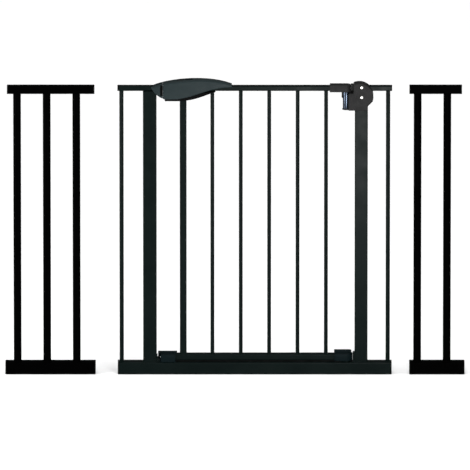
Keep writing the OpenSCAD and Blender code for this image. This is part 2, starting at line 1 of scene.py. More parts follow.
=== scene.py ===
"""Looks of the safety gate kit: mouldings, weld beads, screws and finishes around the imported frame.

Shapes are worked out in millimetres and become metres in piece(). +Z is up and -Y is the front.
"""

import json
import math
import random

import bmesh
import bpy
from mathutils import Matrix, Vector


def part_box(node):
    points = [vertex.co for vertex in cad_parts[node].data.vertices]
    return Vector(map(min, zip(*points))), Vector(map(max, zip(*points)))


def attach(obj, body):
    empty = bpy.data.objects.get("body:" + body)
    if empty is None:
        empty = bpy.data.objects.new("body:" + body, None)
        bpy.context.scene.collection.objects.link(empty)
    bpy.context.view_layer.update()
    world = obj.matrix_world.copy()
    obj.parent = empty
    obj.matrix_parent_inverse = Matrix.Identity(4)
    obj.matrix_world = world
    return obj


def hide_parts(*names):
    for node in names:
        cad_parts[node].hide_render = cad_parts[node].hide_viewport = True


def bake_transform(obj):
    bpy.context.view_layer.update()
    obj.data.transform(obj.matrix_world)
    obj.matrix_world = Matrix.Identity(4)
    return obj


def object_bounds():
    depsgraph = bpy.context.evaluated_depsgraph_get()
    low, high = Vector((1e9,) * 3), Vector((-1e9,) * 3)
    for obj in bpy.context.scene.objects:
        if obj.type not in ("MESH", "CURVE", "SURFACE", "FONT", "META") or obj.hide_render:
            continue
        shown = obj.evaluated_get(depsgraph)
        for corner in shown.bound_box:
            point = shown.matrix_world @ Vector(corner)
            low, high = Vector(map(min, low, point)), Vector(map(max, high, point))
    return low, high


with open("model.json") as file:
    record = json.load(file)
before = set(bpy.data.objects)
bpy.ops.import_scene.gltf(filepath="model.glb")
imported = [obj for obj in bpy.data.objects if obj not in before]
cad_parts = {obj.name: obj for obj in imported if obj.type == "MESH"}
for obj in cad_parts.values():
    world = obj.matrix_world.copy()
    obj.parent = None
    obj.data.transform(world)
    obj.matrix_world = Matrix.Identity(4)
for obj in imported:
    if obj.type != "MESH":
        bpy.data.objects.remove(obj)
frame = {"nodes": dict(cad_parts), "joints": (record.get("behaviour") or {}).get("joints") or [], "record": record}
cad_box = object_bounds()

MM = 0.001
SHELL_WALL = 3.0
SEAM_GAP = 1.0
SCREW_R = 2.0
# Screws that cut into the plastic are a hair thinner than their holes
TAPPED_R = 1.99
SCREW_HEAD_R = 3.8
PLUG_FLANGE = 3.0
PLUG_BODY = 20.0
PLUG_BORE_R = 4.2


def box_mm(*nodes):
    """Lowest and highest corner of one or more CAD nodes, in millimetres."""
    corners = [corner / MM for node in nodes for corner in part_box(node)]
    low = Vector([min(c[i] for c in corners) for i in range(3)])
    high = Vector([max(c[i] for c in corners) for i in range(3)])
    return low, high


# ---------------------------------------------------------------- places taken from the frame

hinge_x = next(j for j in frame["joints"] if j["name"] == "door_swing")["pos_m"][0] / MM
rail_low, rail_high = box_mm("door_top_rail")
sill_low, sill_high = box_mm("door_bottom_rail")
base_top = box_mm("base_rail")[1].z
stile_low, stile_high = box_mm("door_stile")
hinge_post_low, hinge_post_high = box_mm("hinge_post")
latch_post_low, latch_post_high = box_mm("latch_post")
barrel_low, barrel_high = box_mm("hinge_barrel")
keeper_left = box_mm("keeper_front", "keeper_rear")[0].x
handle_low, handle_high = box_mm("handle_front", "handle_rear")
slider_low, slider_high = box_mm("thumb_slider")
bolt_low, bolt_high = box_mm("lock_bolt")
housing_low, housing_high = box_mm("hinge_housing_front", "hinge_housing_rear")
cap_low, cap_high = box_mm("hinge_cap")

gate_top = rail_high.z
rail_bottom = rail_low.z
rail_mid = (gate_top + rail_bottom) / 2
seam_x = handle_low.x - SEAM_GAP
handle_right = handle_high.x
leaf_half_depth = handle_high.y
bar_1_x = sum(box_mm("door_bar_1"), Vector()).x / 2
lock_travel = 10.8


# ---------------------------------------------------------------- outlines


def cubic(p, t):
    """Point on a cubic curve."""
    a, b, c, d = (Vector(q) for q in p)
    return (1 - t) ** 3 * a + 3 * t * (1 - t) ** 2 * b + 3 * t * t * (1 - t) * c + t**3 * d


def height_at(p, x):
    """Height of a cubic curve in X and Z where it passes x."""
    low, high = 0.0, 1.0
    rising = p[-1][0] > p[0][0]
    for _ in range(40):
        t = (low + high) / 2
        if (cubic(p, t).x < x) == rising:
            low = t
        else:
            high = t
    return cubic(p, low).y


def rounded(corners, radius, steps=5):
    """The outline with a fillet at each corner that turns by more than 20 degrees."""
    points = []
    for i, corner in enumerate(corners):
        here = Vector(corner)
        back = Vector(corners[i - 1]) - here
        ahead = Vector(corners[(i + 1) % len(corners)]) - here
        turn = math.pi - back.angle(ahead)
        if turn < math.radians(20):
            points.append(here)
            continue
        reach = min(radius * math.tan(turn / 2), 0.48 * back.length, 0.48 * ahead.length)
        start = here + back.normalized() * reach
        end = here + ahead.normalized() * reach
        for k in range(steps + 1):
            t = k / steps
            points.append((1 - t) ** 2 * start + 2 * t * (1 - t) * here + t * t * end)
    return points


def shrunk(points, inset):
    """A counter-clockwise outline moved inwards by inset."""
    if inset == 0:
        return [Vector(p) for p in points]
    moved = []
    for i, p in enumerate(points):
        back = (Vector(p) - Vector(points[i - 1])).normalized()
        ahead = (Vector(points[(i + 1) % len(points)]) - Vector(p)).normalized()
        n1, n2 = Vector((-back.y, back.x)), Vector((-ahead.y, ahead.x))
        moved.append(Vector(p) + (n1 + n2) / max(1 + n1.dot(n2), 0.3) * inset)
    return moved


def rectangle(left, right, low, high):
    return [(left, low), (right, low), (right, high), (left, high)]


def counter_clockwise(points):
    area = sum(p[0] * q[1] - q[0] * p[1] for p, q in zip(points, points[1:] + points[:1]))
    return points if area > 0 else points[::-1]


def circle(x, y, radius, steps=48):
    turns = [2 * math.pi * i / steps for i in range(steps)]
    return [(x + radius * math.cos(a), y + radius * math.sin(a)) for a in turns]


# ---------------------------------------------------------------- solids


def loft(rings, closed=False):
    """Skin through rings of the same number of points, with flat ends unless it closes on itself."""
    bm = bmesh.new()
    rows = [[bm.verts.new(p) for p in ring] for ring in rings]
    pairs = list(zip(rows, rows[1:]))
    if closed:
        pairs.append((rows[-1], rows[0]))
    for a, b in pairs:
        for i in range(len(a)):
            j = (i + 1) % len(a)
            bm.faces.new((a[i], a[j], b[j], b[i]))
    if not closed:
        bm.faces.new(rows[0][::-1])
        bm.faces.new(rows[-1])
    bmesh.ops.recalc_face_normals(bm, faces=bm.faces)
    return bm


def upright(u, v, w):
    """An outline in X and Y, stood up along Z."""
    return (u, v, w)


def across(u, v, w):
    """An outline in X and Z, laid through along Y."""
    return (u, w, v)


def along(u, v, w):
    """An outline in Y and Z, run along X."""
    return (w, u, v)


def prism(outline, low, high, way=upright, round_low=0.0, round_high=0.0, steps=4):
    """An outline extruded from low to high, with its edges rounded at either end."""
    outline = counter_clockwise([tuple(p) for p in outline])
    levels = []
    for k in range(steps + 1 if round_low else 1):
        a = math.pi / 2 * k / steps
        levels.append((round_low * (1 - math.sin(a)), low + round_low * (1 - math.cos(a))))
    for k in range(steps + 1 if round_high else 1):
        a = math.pi / 2 * k / steps
        levels.append((round_high * (1 - math.cos(a)), high - round_high * (1 - math.sin(a))))
    return loft([[way(p.x, p.y, level) for p in shrunk(outline, inset)] for inset, level in levels])


def soft_box(low, high, radius, corner=None):
    """A box with rounded edges. corner is the larger radius of its upright edges."""
    low, high = Vector(low), Vector(high)
    plan = rounded(rectangle(low.x, high.x, low.y, high.y), corner or 1.3 * radius)
    return prism(plan, low.z, high.z, round_low=radius, round_high=radius)


def sharp_box(low, high):
    return prism(rectangle(low[0], high[0], low[1], high[1]), low[2], high[2])


def rod(x, z, radius, y_low, y_high, round_low=0.0, round_high=0.0):
    """A round rod through Y."""
    return prism(circle(x, z, radius), y_low, y_high, across, round_low, round_high)


def post(x, y, radius, z_low, z_high, round_low=0.0, round_high=0.0):
    """A round rod that stands up."""
    return prism(circle(x, y, radius), z_low, z_high, upright, round_low, round_high)


def merged(*parts):
    """Several solids as one mesh, side by side."""
    whole = bmesh.new()
    for part in parts:
        mesh = bpy.data.meshes.new("part")
        part.to_mesh(mesh)
        part.free()
        whole.from_mesh(mesh)
        bpy.data.meshes.remove(mesh)
    return whole


def shaped(base, operation, *tools):
    """base with each tool taken away from it, added to it or kept in common."""
    scene = bpy.context.scene
    made = []
    for bm in (base, *tools):
        mesh = bpy.data.meshes.new("work")
        bm.to_mesh(mesh)
        bm.free()
        made.append(bpy.data.objects.new("work", mesh))
        scene.collection.objects.link(made[-1])
    for tool in made[1:]:
        step = made[0].modifiers.new("step", "BOOLEAN")
        step.operation, step.solver, step.object = operation, "MANIFOLD", tool
    result = bmesh.new()
    evaluated = made[0].evaluated_get(bpy.context.evaluated_depsgraph_get())
    result.from_mesh(evaluated.to_mesh())
    evaluated.to_mesh_clear()
    for obj in made:
        mesh = obj.data
        bpy.data.objects.remove(obj)
        bpy.data.meshes.remove(mesh)
    return result


def cut(base, *tools):
    return shaped(base, "DIFFERENCE", *tools)


def joined(base, *tools):
    return shaped(base, "UNION", *tools)


def piece(name, bm, body, slot, *replaced, stretch=None):
    """Puts a solid in the scene, in metres, on its body and with its finish.

    With stretch, the piece is put on no body and its place is baked into its mesh."""
    bmesh.ops.remove_doubles(bm, verts=bm.verts, dist=0.002)
    bmesh.ops.dissolve_degenerate(bm, edges=bm.edges, dist=0.001)
    bmesh.ops.scale(bm, vec=(MM, MM, MM), verts=bm.verts)
    for face in bm.faces:
        face.smooth = True
    for edge in bm.edges:
        edge.smooth = len(edge.link_faces) == 2 and edge.calc_face_angle() < math.radians(32)
    mesh = bpy.data.meshes.new(name)
    bm.to_mesh(mesh)
    bm.free()
    obj = bpy.data.objects.new(name, mesh)
    bpy.context.scene.collection.objects.link(obj)
    mesh.materials.append(finishes[slot])
    if stretch:
        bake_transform(obj)
    else:
        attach(obj, body)
    if replaced:
        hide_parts(*replaced)
    return obj


# ---------------------------------------------------------------- finishes


class Finish:
    """A Principled material in the making, with the few kinds of node that the finishes share."""

    def __init__(self, name, **constants):
        self.material = bpy.data.materials.new(name)
        self.material.use_nodes = True
        self.tree = self.material.node_tree
        self.shader = self.tree.nodes["Principled BSDF"]
        for socket, value in constants.items():
            self.shader.inputs[socket.replace("_", " ")].default_value = value
        self.place = self.node("ShaderNodeTexCoord").outputs["Object"]

    def node(self, kind, **settings):
        made = self.tree.nodes.new(kind)
        for key, value in settings.items():
            setattr(made, key, value)
        return made

    def link(self, output, node, socket):
        self.tree.links.new(output, node.inputs[socket])

    def noise(self, size, detail=3.0, stretch=(1, 1, 1)):
        """Noise whose features are about size millimetres across, drawn out along some axes."""
        mapping = self.node("ShaderNodeMapping")
        mapping.inputs["Scale"].default_value = [1 / s for s in stretch]
        self.link(self.place, mapping, "Vector")
        made = self.node("ShaderNodeTexNoise")
        made.inputs["Scale"].default_value = 1 / (size * MM)
        made.inputs["Detail"].default_value = detail
        self.link(mapping.outputs["Vector"], made, "Vector")
        return made.outputs["Fac"]

    def span(self, value, low, high, to_low, to_high):
        """value taken from one range to another, held at its ends."""
        made = self.node("ShaderNodeMapRange")
        self.link(value, made, "Value")
        sockets = ("From Min", "From Max", "To Min", "To Max")
        for socket, number in zip(sockets, (low, high, to_low, to_high)):
            made.inputs[socket].default_value = number
        return made.outputs["Result"]

    def times(self, a, b):
        made = self.node("ShaderNodeMath", operation="MULTIPLY")
        self.tree.links.new(a, made.inputs[0])
        self.tree.links.new(b, made.inputs[1])
        return made.outputs["Value"]

    def blend(self, share, below, above):
        """Colour between two colours, or between an earlier result and a colour."""
        made = self.node("ShaderNodeMix", data_type="RGBA")
        self.link(share, made, "Factor")
        for socket, colour in (("A", below), ("B", above)):
            target = [s for s in made.inputs if s.name == socket and s.type == "RGBA"][0]
            if isinstance(colour, tuple):
                target.default_value = (*colour, 1.0)
            else:
                self.tree.links.new(colour, target)
        return [s for s in made.outputs if s.type == "RGBA"][0]

    def edges(self, reach):
        """1 along edges and 0 on open faces: wear on the paint, and a painted sheen on the mouldings."""
        bevel = self.node("ShaderNodeBevel", samples=5)
        bevel.inputs["Radius"].default_value = reach * MM
        facing = self.node("ShaderNodeNewGeometry")
        match = self.node("ShaderNodeVectorMath", operation="DOT_PRODUCT")
        self.tree.links.new(bevel.outputs["Normal"], match.inputs[0])
        self.tree.links.new(facing.outputs["Normal"], match.inputs[1])
        return self.span(match.outputs["Value"], 0.997, 0.93, 0.0, 1.0)

    def upward(self):
        """1 on faces that look up. Dust settles there, and a painted highlight lightens them as if lit from above.
        """
        facing = self.node("ShaderNodeNewGeometry")
        parts = self.node("ShaderNodeSeparateXYZ")
        self.link(facing.outputs["Normal"], parts, "Vector")
        return self.span(parts.outputs["Z"], 0.75, 0.98, 0.0, 1.0)

    def bump(self, height, depth, strength=1.0, below=None):
        """Surface relief of depth millimetres, on top of an earlier relief."""
        made = self.node("ShaderNodeBump")
        made.inputs["Distance"].default_value = depth * MM
        made.inputs["Strength"].default_value = strength
        self.link(height, made, "Height")
        if below is not None:
            self.link(below, made, "Normal")
        return made.outputs["Normal"]

    def done(self, colour, roughness, normal):
        self.link(colour, self.shader, "Base Color")
        self.link(roughness, self.shader, "Roughness")
        self.link(normal, self.shader, "Normal")
        return self.material


def powder_coat(name, tone, drift, wear_and_sheen_tone, gloss, shine):
    """Baked powder paint: faint orange peel, slow drift in tone, thin paint and polish on the edges."""
    f = Finish(name, Specular_IOR_Level=shine)
    slow = f.span(f.noise(70, 4), 0.35, 0.65, 0.0, 1.0)
    colour = f.blend(slow, tone, drift)
    speck = f.span(f.noise(1.6, 2), 0.62, 0.75, 0.0, 0.45)
    colour = f.blend(speck, colour, wear_and_sheen_tone)
    rubbed = f.times(f.edges(1.2), f.span(f.noise(9, 5), 0.4, 0.7, 0.15, 1.0))
    colour = f.blend(rubbed, colour, wear_and_sheen_tone)
    # Dust on faces that look up, with a painted highlight: the mix lightens top faces as if lit from above.
    dust_and_top_sheen = f.times(f.upward(), f.span(f.noise(22, 5), 0.35, 0.7, 0.0, 0.35))
    colour = f.blend(dust_and_top_sheen, colour, wear_and_sheen_tone)
    roughness = f.span(f.noise(30, 4), 0.3, 0.7, gloss - 0.05, gloss + 0.07)
    peel = f.bump(f.noise(1.3, 2), 0.03, 0.55)
    normal = f.bump(f.noise(7.0, 1), 0.04, 0.4, peel)
    return f.done(colour, roughness, normal)


def moulded(name, tone, drift, gloss, shine, grain=0.7, relief=0.03):
    """Spark-textured moulding: fine even grain, soft flow marks, and edges rubbed glossy by hands, shown as a
    painted sheen that lightens their colour.
    """
    f = Finish(name, Specular_IOR_Level=shine)
    flow = f.span(f.noise(26, 3, (2.2, 1, 1)), 0.3, 0.7, 0.0, 1.0)
    colour = f.blend(flow, tone, drift)
    # Painted sheen: the edges are drawn lighter in colour, standing in for light caught by their gloss.
    painted_edge_sheen = f.times(f.edges(1.0), f.span(f.noise(6, 4), 0.35, 0.7, 0.1, 0.8))
    sheen_tone = tuple(c * 1.7 + 0.002 for c in drift)
    colour = f.blend(painted_edge_sheen, colour, sheen_tone)
    grains = f.noise(grain, 2)
    roughness = f.span(f.noise(15, 3), 0.3, 0.7, gloss - 0.04, gloss + 0.06)
    texture = f.bump(grains, relief, 0.7)
    normal = f.bump(f.noise(9, 1), 0.05, 0.25, texture)
    return f.done(colour, roughness, normal)


def drawn_metal(name, tone, drift, gloss, stretch, relief=0.01):
    """Plated or polished metal with fine lines from its working, and cloudier patches."""
    f = Finish(name, Metallic=1.0)
    cloud = f.span(f.noise(5, 4), 0.3, 0.7, 0.0, 1.0)
    colour = f.blend(cloud, tone, drift)
    lines = f.noise(0.6, 4, stretch)
    colour = f.blend(f.span(lines, 0.55, 0.8, 0.0, 0.35), colour, tuple(c * 0.6 for c in tone))
    roughness = f.span(lines, 0.3, 0.7, gloss - 0.04, gloss + 0.08)
    return f.done(colour, roughness, f.bump(lines, relief, 0.35))


def nylon(name):
    """Natural nylon, a little translucent, with flow marks."""
    f = Finish(name, Subsurface_Weight=0.25, Subsurface_Scale=0.002)
    colour = f.blend(f.span(f.noise(5, 3), 0.3, 0.7, 0.0, 1.0), (0.68, 0.67, 0.6), (0.78, 0.77, 0.72))
    roughness = f.span(f.noise(3, 3), 0.3, 0.7, 0.34, 0.46)
    return f.done(colour, roughness, f.bump(f.noise(0.8, 2), 0.01, 0.5))


finishes = {
    "gate_paint": powder_coat(
        "gate_paint", (0.0005, 0.0022, 0.0020), (0.0012, 0.0033, 0.0030), (0.0045, 0.0062, 0.0055),
        0.33, 0.034,
    ),
    "panel_paint": powder_coat(
        "panel_paint", (0.0001, 0.0001, 0.00011), (0.0002, 0.0002, 0.00022), (0.0006,) * 3, 0.5, 0.004
    ),
    "handle_plastic": moulded(
        "handle_plastic", (0.0072, 0.0125, 0.0135), (0.0094, 0.0150, 0.0160), 0.46, 0.07
    ),
    "housing_plastic": moulded(
        "housing_plastic", (0.0072, 0.0071, 0.0072), (0.0098, 0.0097, 0.0097), 0.5, 0.06, 0.9, 0.05
    ),
    "block_plastic": moulded(
        "block_plastic", (0.0006, 0.0028, 0.0034), (0.0013, 0.0038, 0.0045), 0.45, 0.03
    ),
    "dark_plastic": moulded("dark_plastic", (0.0006, 0.0008, 0.0008), (0.0014, 0.0016, 0.0015), 0.55, 0.02),
    "barrel_steel": drawn_metal(
        "barrel_steel", (0.021, 0.027, 0.038), (0.028, 0.035, 0.047), 0.16, (1, 1, 40), relief=0.001
    ),
    "steel": drawn_metal("steel", (0.62, 0.61, 0.57), (0.72, 0.71, 0.68), 0.3, (6, 1, 1)),
    "nylon": nylon("nylon"),
}

for row in frame["record"]["subparts"]:
    mesh = frame["nodes"][row["node"]].data
    mesh.materials.clear()
    mesh.materials.append(finishes[row["material_slot"]])


# ---------------------------------------------------------------- handle and keeper

LEAF_UPPER = [
    (keeper_left, gate_top - 2.7),
    (keeper_left + 42, gate_top + 17),
    (handle_right - 59.5, gate_top + 27.5),
    (handle_right - 2, gate_top + 5.2),
]
LEAF_LOWER = [
    (handle_right, gate_top - 4),
    (handle_right - 62, gate_top - 4),
    (handle_right - 87, gate_top - 27),
    (handle_right - 142, gate_top - 34),
]
LEAF_HEEL = [
    (seam_x + 7, gate_top - 34),
    (seam_x - 8, gate_top - 31),
    (keeper_left + 5, gate_top - 17),
    (keeper_left, gate_top - 2.6),
]
LEAF_PLAN = [
    (keeper_left, leaf_half_depth - 3),
    (seam_x - 10, leaf_half_depth + 0.5),
    (seam_x + 70, leaf_half_depth + 0.5),
    (handle_right, leaf_half_depth - 8.5),
]
insert_back, insert_step = handle_right - 142, handle_right - 87
insert_floor, insert_heel_top, insert_top = gate_top - 39.8, gate_top - 26, gate_top - 19
INSERT_LOWER = [
    (handle_right - 37, gate_top - 14),
    (handle_right - 67, gate_top - 22),
    (handle_right - 92, insert_floor),
    (insert_back, insert_floor),
]
insert_half = 13.0
# Levels well below and above the handle, where upright cuts start and end
BELOW, ABOVE = 700, gate_top + 40


def leaf_bottom(x):
    if x > LEAF_LOWER[-1][0]:
        return height_at(LEAF_LOWER, x)
    if x > LEAF_HEEL[0][0]:
        return LEAF_HEEL[0][1]
    return height_at(LEAF_HEEL, x)


def half_section(outer, low, high, low_round, high_round, crown=0.0):
    """Y and Z of one side of a section, from near the middle of its top round to the bottom."""
    steps = 6
    flat = outer - high_round
    points = [(flat * k / steps, high + crown * (1 - (k / steps) ** 2)) for k in range(1, steps)]
    turns = [math.pi / 2 * k / steps for k in range(steps + 1)]
    points += [(flat + high_round * math.sin(a), high - high_round * (1 - math.cos(a))) for a in turns]
    points += [(outer - low_round * (1 - math.cos(a)), low + low_round * (1 - math.sin(a))) for a in turns]
    return points


def leaf_section(x, inset, side):
    """Half of the leaf's section at x, from the top seam round one side to the bottom seam."""
    top, bottom = height_at(LEAF_UPPER, x) - inset, leaf_bottom(x) + inset
    half_depth = height_at(LEAF_PLAN, x) - inset
    height = max(top - bottom, 1.0)
    crown = min(1.0, 0.12 * height)
    high_round = min(max(5.0 - inset, 1.0), 0.45 * (height - crown))
    low_round = min(max(3.0 - inset, 1.0), 0.4 * (height - crown))
    bottom = top - height
    points = half_section(half_depth, bottom, top - crown, low_round, high_round, crown)
    return [(x, 0.0, top)] + [(x, side * y, z) for y, z in points] + [(x, 0.0, bottom)]


def leaf_half(x_low, x_high, side, inset=0.0, lip=0.6):
    """One half of the leaf between two places along X, its end edges eased by lip."""
    ends = [(0.0, lip), (0.25 * lip, 0.3 * lip), (lip, 0.0)] if lip else [(0.0, 0.0)]
    stations = [(x_low + dx, extra) for dx, extra in ends]
    count = max(6, round((x_high - x_low) / 4))
    stations += [(x_low + (x_high - x_low) * k / count, 0.0) for k in range(1, count)]
    stations += [(x_high - dx, extra) for dx, extra in reversed(ends)]
    return loft([leaf_section(x, inset + extra, side) for x, extra in stations])


def rail_rooms():
    """Room for the top rail and the stile."""
    return [
        sharp_box((rail_low.x, -rail_high.y, rail_bottom), (handle_right + 5, rail_high.y, gate_top)),
        sharp_box((stile_low.x, -stile_high.y, BELOW), (stile_high.x, stile_high.y, rail_bottom + 1)),
    ]


def insert_outline():
    lower = [tuple(cubic(INSERT_LOWER, k / 14)) for k in range(15)]
    heel = [(seam_x + 6, insert_floor), (seam_x + 3, insert_heel_top)]
    return lower + heel + [(insert_back, insert_heel_top), (insert_step, insert_top)]


button_left, button_right = slider_low.x, slider_high.x
tray_floor = gate_top + 10.5
neck_left = button_left + 6
neck_right = neck_left + 8
screw_seat = leaf_half_depth - 5
handle_screw_places = [seam_x + 16, seam_x + 68]
handle_screw_z = gate_top - 21


def handle_tools():
    """What is taken out of the handle's shells: room for the rail, the stile, the insert and the lock."""
    tray = sharp_box((button_left - 1, -9.5, tray_floor), (button_right + lock_travel + 1, 9.5, ABOVE))
    slot = sharp_box((neck_left - 0.6, -4, gate_top), (neck_right + lock_travel + 0.6, 4, ABOVE))
    insert = prism(insert_outline(), -insert_half, insert_half, across)
    mouth = sharp_box((seam_x - 1, -4.3, rail_mid - 4.3), (seam_x + 8, 4.3, rail_mid + 4.3))
    return rail_rooms() + [tray, slot, insert, mouth]


def handle_core(side):
    """The hollow of the handle, with the floor of the tray and the spring's rib left standing."""
    core = leaf_half(seam_x + 4, handle_right - 22, side, SHELL_WALL, 0.0)
    half, right = insert_half, button_right + lock_travel + 4
    floor = sharp_box((button_left - 4, -half, tray_floor - 2.2), (right, half, ABOVE))
    spring_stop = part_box("bolt_spring")[1].x / MM + 0.2
    rib = sharp_box((spring_stop, -half, gate_top), (spring_stop + 3, half, ABOVE))
    return cut(core, floor, rib)


def leaf_screw_seat(x, z):
    """Sunk seat for a screw head in a rear half of the leaf."""
    return rod(x, z, SCREW_HEAD_R + 0.2, screw_seat, leaf_half_depth + 5)


def screw_hole(x, z):
    """Clearance for a screw, right through along Y."""
    return rod(x, z, SCREW_R + 0.2, -30, 30)


def handle_shell(name, side, node):
    shell = cut(leaf_half(seam_x + 1, handle_right, side), handle_core(side), *handle_tools())
    if side > 0:
        shell = cut(shell, *[leaf_screw_seat(x, handle_screw_z) for x in handle_screw_places])
    piece(name, shell, "door", "handle_plastic", node)


handle_shell("handle_shell_front", -1, "handle_front")
handle_shell("handle_shell_rear", 1, "handle_rear")


def keeper_tools():
    stub_low, stub_high = box_mm("left_stub_rail")
    left, right = keeper_left - 5, latch_post_high.x
    return [
        sharp_box((left, latch_post_low.y, BELOW), (right, latch_post_high.y, rail_bottom)),
        sharp_box((left, stub_low.y, rail_bottom - 0.5), (right, stub_high.y, gate_top)),
        sharp_box((bolt_low.x - 3, -6, rail_mid - 7), (seam_x + SEAM_GAP, 6, rail_mid + 17)),
    ]


window_low = Vector((seam_x - 6.2, leaf_half_depth - 3, rail_mid - 18))
window_high = Vector((seam_x + 1, leaf_half_depth + 3, rail_mid + 10.5))
keeper_screw_x, keeper_screw_z = keeper_left + 19.5, rail_mid - 13


def keeper_shell(name, side, node):
    outline = rectangle(window_low.x, window_high.x, window_low.z, window_high.z)
    ends = sorted((side * window_low.y, side * window_high.y))
    tools = keeper_tools() + [prism(outline, *ends, across)]
    if side > 0:
        tools.append(leaf_screw_seat(keeper_screw_x, keeper_screw_z))
    shell = cut(leaf_half(keeper_left, seam_x, side), *tools)
    piece(name, shell, "gate_frame", "handle_plastic", node)
    # Painted shade: a near-black sheet laid in the floor of the window, darker than the handle's plastic, where
    # the recess falls in shade.
    plate = sorted((side * (window_low.y + 0.7), side * window_low.y))
    play = 0.05
    shade_pane = rectangle(window_low.x + play, seam_x, window_low.z + play, window_high.z - play)
    piece(f"{name}_pane", prism(shade_pane, *plate, across), "gate_frame", "dark_plastic")


keeper_shell("keeper_shell_front", -1, "keeper_front")
keeper_shell("keeper_shell_rear", 1, "keeper_rear")


def seam_strip(name, node, body):
    """Two bands of a soft strip on an end face beside the seam, one near each face of the leaf."""
    low, high = box_mm(node)
    x = (low.x + high.x) / 2
    top, bottom = height_at(LEAF_UPPER, x) - 0.75, leaf_bottom(x) + 0.4
    bands = [
        prism(rounded(rectangle(*ends, bottom, top), 0.4), low.x, high.x, along)
        for ends in ((low.y, high.y), (-high.y, -low.y))
    ]
    piece(name, merged(*bands), body, "dark_plastic", node)


seam_strip("keeper_seam_strip", "keeper_buffer", "gate_frame")
seam_strip("handle_seam_strip", "handle_buffer", "door")


def insert_levels(x):
    """Lowest and highest point of the insert at x."""
    if x <= insert_back:
        return insert_floor + max(0.0, (seam_x + 6 - x) / 3) * 10, insert_heel_top
    low = height_at(INSERT_LOWER, x)
    if x < insert_step:
        share = (x - insert_back) / (insert_step - insert_back)
        return low, insert_heel_top + share * (insert_top - insert_heel_top)
    return low, insert_top + (x - insert_step) / 10


def grip_insert():
    """Dark soft insert under the handle, rounded where fingers curl round it."""
    left, right = seam_x + 3.4, handle_right - 42
    count = 44
    rings = []
    for k in range(count + 1):
        x = left + (right - left) * k / count
        low, high = insert_levels(x)
        half = insert_half - (0.8 if k in (0, count) else 0.0)
        round_off = min(3.0, 0.4 * (high - low))
        side = half_section(half, low, high, round_off, min(0.8, round_off))
        rings.append([(x, y, z) for y, z in side] + [(x, -y, z) for y, z in reversed(side)])
    bar_room = post(bar_1_x, 0, 5.05, BELOW, gate_top)
    tools = rail_rooms() + [bar_room]
    tools += [screw_hole(x, handle_screw_z) for x in handle_screw_places]
    piece("grip_insert", cut(loft(rings), *tools), "door", "dark_plastic", "handle_grip_insert")


grip_insert()


def slider():
    """Ribbed button that draws the bolt, with the neck that reaches down to it."""
    low = tray_floor + 0.4
    pad = soft_box((button_left, -8.8, low), (button_right, 8.8, low + 1.8), 0.6, 2.0)
    ribs = []
    for i in range(5):
        x = button_left + 4.5 * (i + 1)
        ribs.append(soft_box((x, -7, low + 1.2), (x + 2, 7, low + 2.6), 0.45, 0.9))
    neck = sharp_box((neck_left, -3.6, gate_top + 6), (neck_right, 3.6, low + 0.5))
    piece("thumb_button", joined(pad, neck, *ribs), "lock", "housing_plastic", "thumb_slider")


slider()


def lock_plate():
    """Square bolt with eased edges, and the cranked plate behind it."""
    half = 4.0
    top, crank_end = gate_top + 6, seam_x + 8.5
    nose = prism(
        rounded(rectangle(-half, half, rail_mid - half, rail_mid + half), 0.8),
        bolt_low.x, crank_end, along, 0.8, 0.3,
    )
    crank = sharp_box((seam_x + 5.5, -half, rail_mid - half + 1), (crank_end, half, top))
    plate = sharp_box((seam_x + 5.6, -half, top - 2.5), (bolt_high.x, half, top))
    piece("latch_bolt", joined(nose, crank, plate), "lock", "steel", "lock_bolt")


lock_plate()


def spring_coil():
    """Round-wire coil with closed ends, in the place of the bolt's return spring."""
    low, high = box_mm("bolt_spring")
    wire = 0.5
    radius = (high.z - low.z) / 2 - wire
    middle = (high.z + low.z) / 2
    turns, per_turn, sides = 7, 20, 10
    rings = []
    for i in range(turns * per_turn + 1):
        share = i / (turns * per_turn)
        eased = share - math.sin(2 * math.pi * share) / (2 * math.pi) * 0.45
        x = low.x + wire + (high.x - low.x - 2 * wire) * eased
        a = 2 * math.pi * i / per_turn
        out = Vector((0, math.cos(a), math.sin(a)))
        rings.append([
            Vector((x + wire * u, 0, middle)) + out * (radius + wire * v)
            for v, u in circle(0, 0, 1, sides)
        ])
    ends = ("lock", low.x, high.x)
    piece("return_spring", loft(rings), "door", "steel", "bolt_spring", stretch=ends)


spring_coil()


# ---------------------------------------------------------------- hinge

disc_x, disc_z = hinge_x + 33.7, gate_top - 27.8
disc_r = housing_high.x - disc_x
housing_left = hinge_x + 18.7
housing_foot = housing_low.z
shoulder_z = gate_top - 18.5
foot_left = hinge_x + 5.3
lug_bottom = cap_low.z
bolt_x = sum(box_mm("housing_screws"), Vector()).x / 2
screw_levels = (gate_top - 3, gate_top - 29)
post_right = hinge_post_high.x
well_floor = housing_foot + 3
barrel_room, cap_room = 9.25, 12.8


def disc_point(angle):
    return (disc_x + disc_r * math.cos(angle), disc_z + disc_r * math.sin(angle))


def housing_outline():
    """Disc over the post with a straight foot, cut at its left side and below its right side."""
    cut_start = housing_foot + 11.5
    # Where the 45 degree cut from the post's edge meets the disc
    along_cut = next(
        k / 10 for k in range(400)
        if math.hypot(post_right + k / 10 - disc_x, cut_start + k / 10 - disc_z) > disc_r
    )
    start = math.atan2(cut_start + along_cut - disc_z, post_right + along_cut - disc_x)
    end = math.acos((housing_left - disc_x) / disc_r)
    clear = 0.1
    arc = [disc_point(start + clear + (end - start - 2 * clear) * k / 36) for k in range(37)]
    foot = [(foot_left, housing_foot), (post_right, housing_foot), (post_right, cut_start)]
    shoulder = [(housing_left, shoulder_z), (foot_left, shoulder_z)]
    return foot + [disc_point(start)] + arc + [disc_point(end)] + shoulder


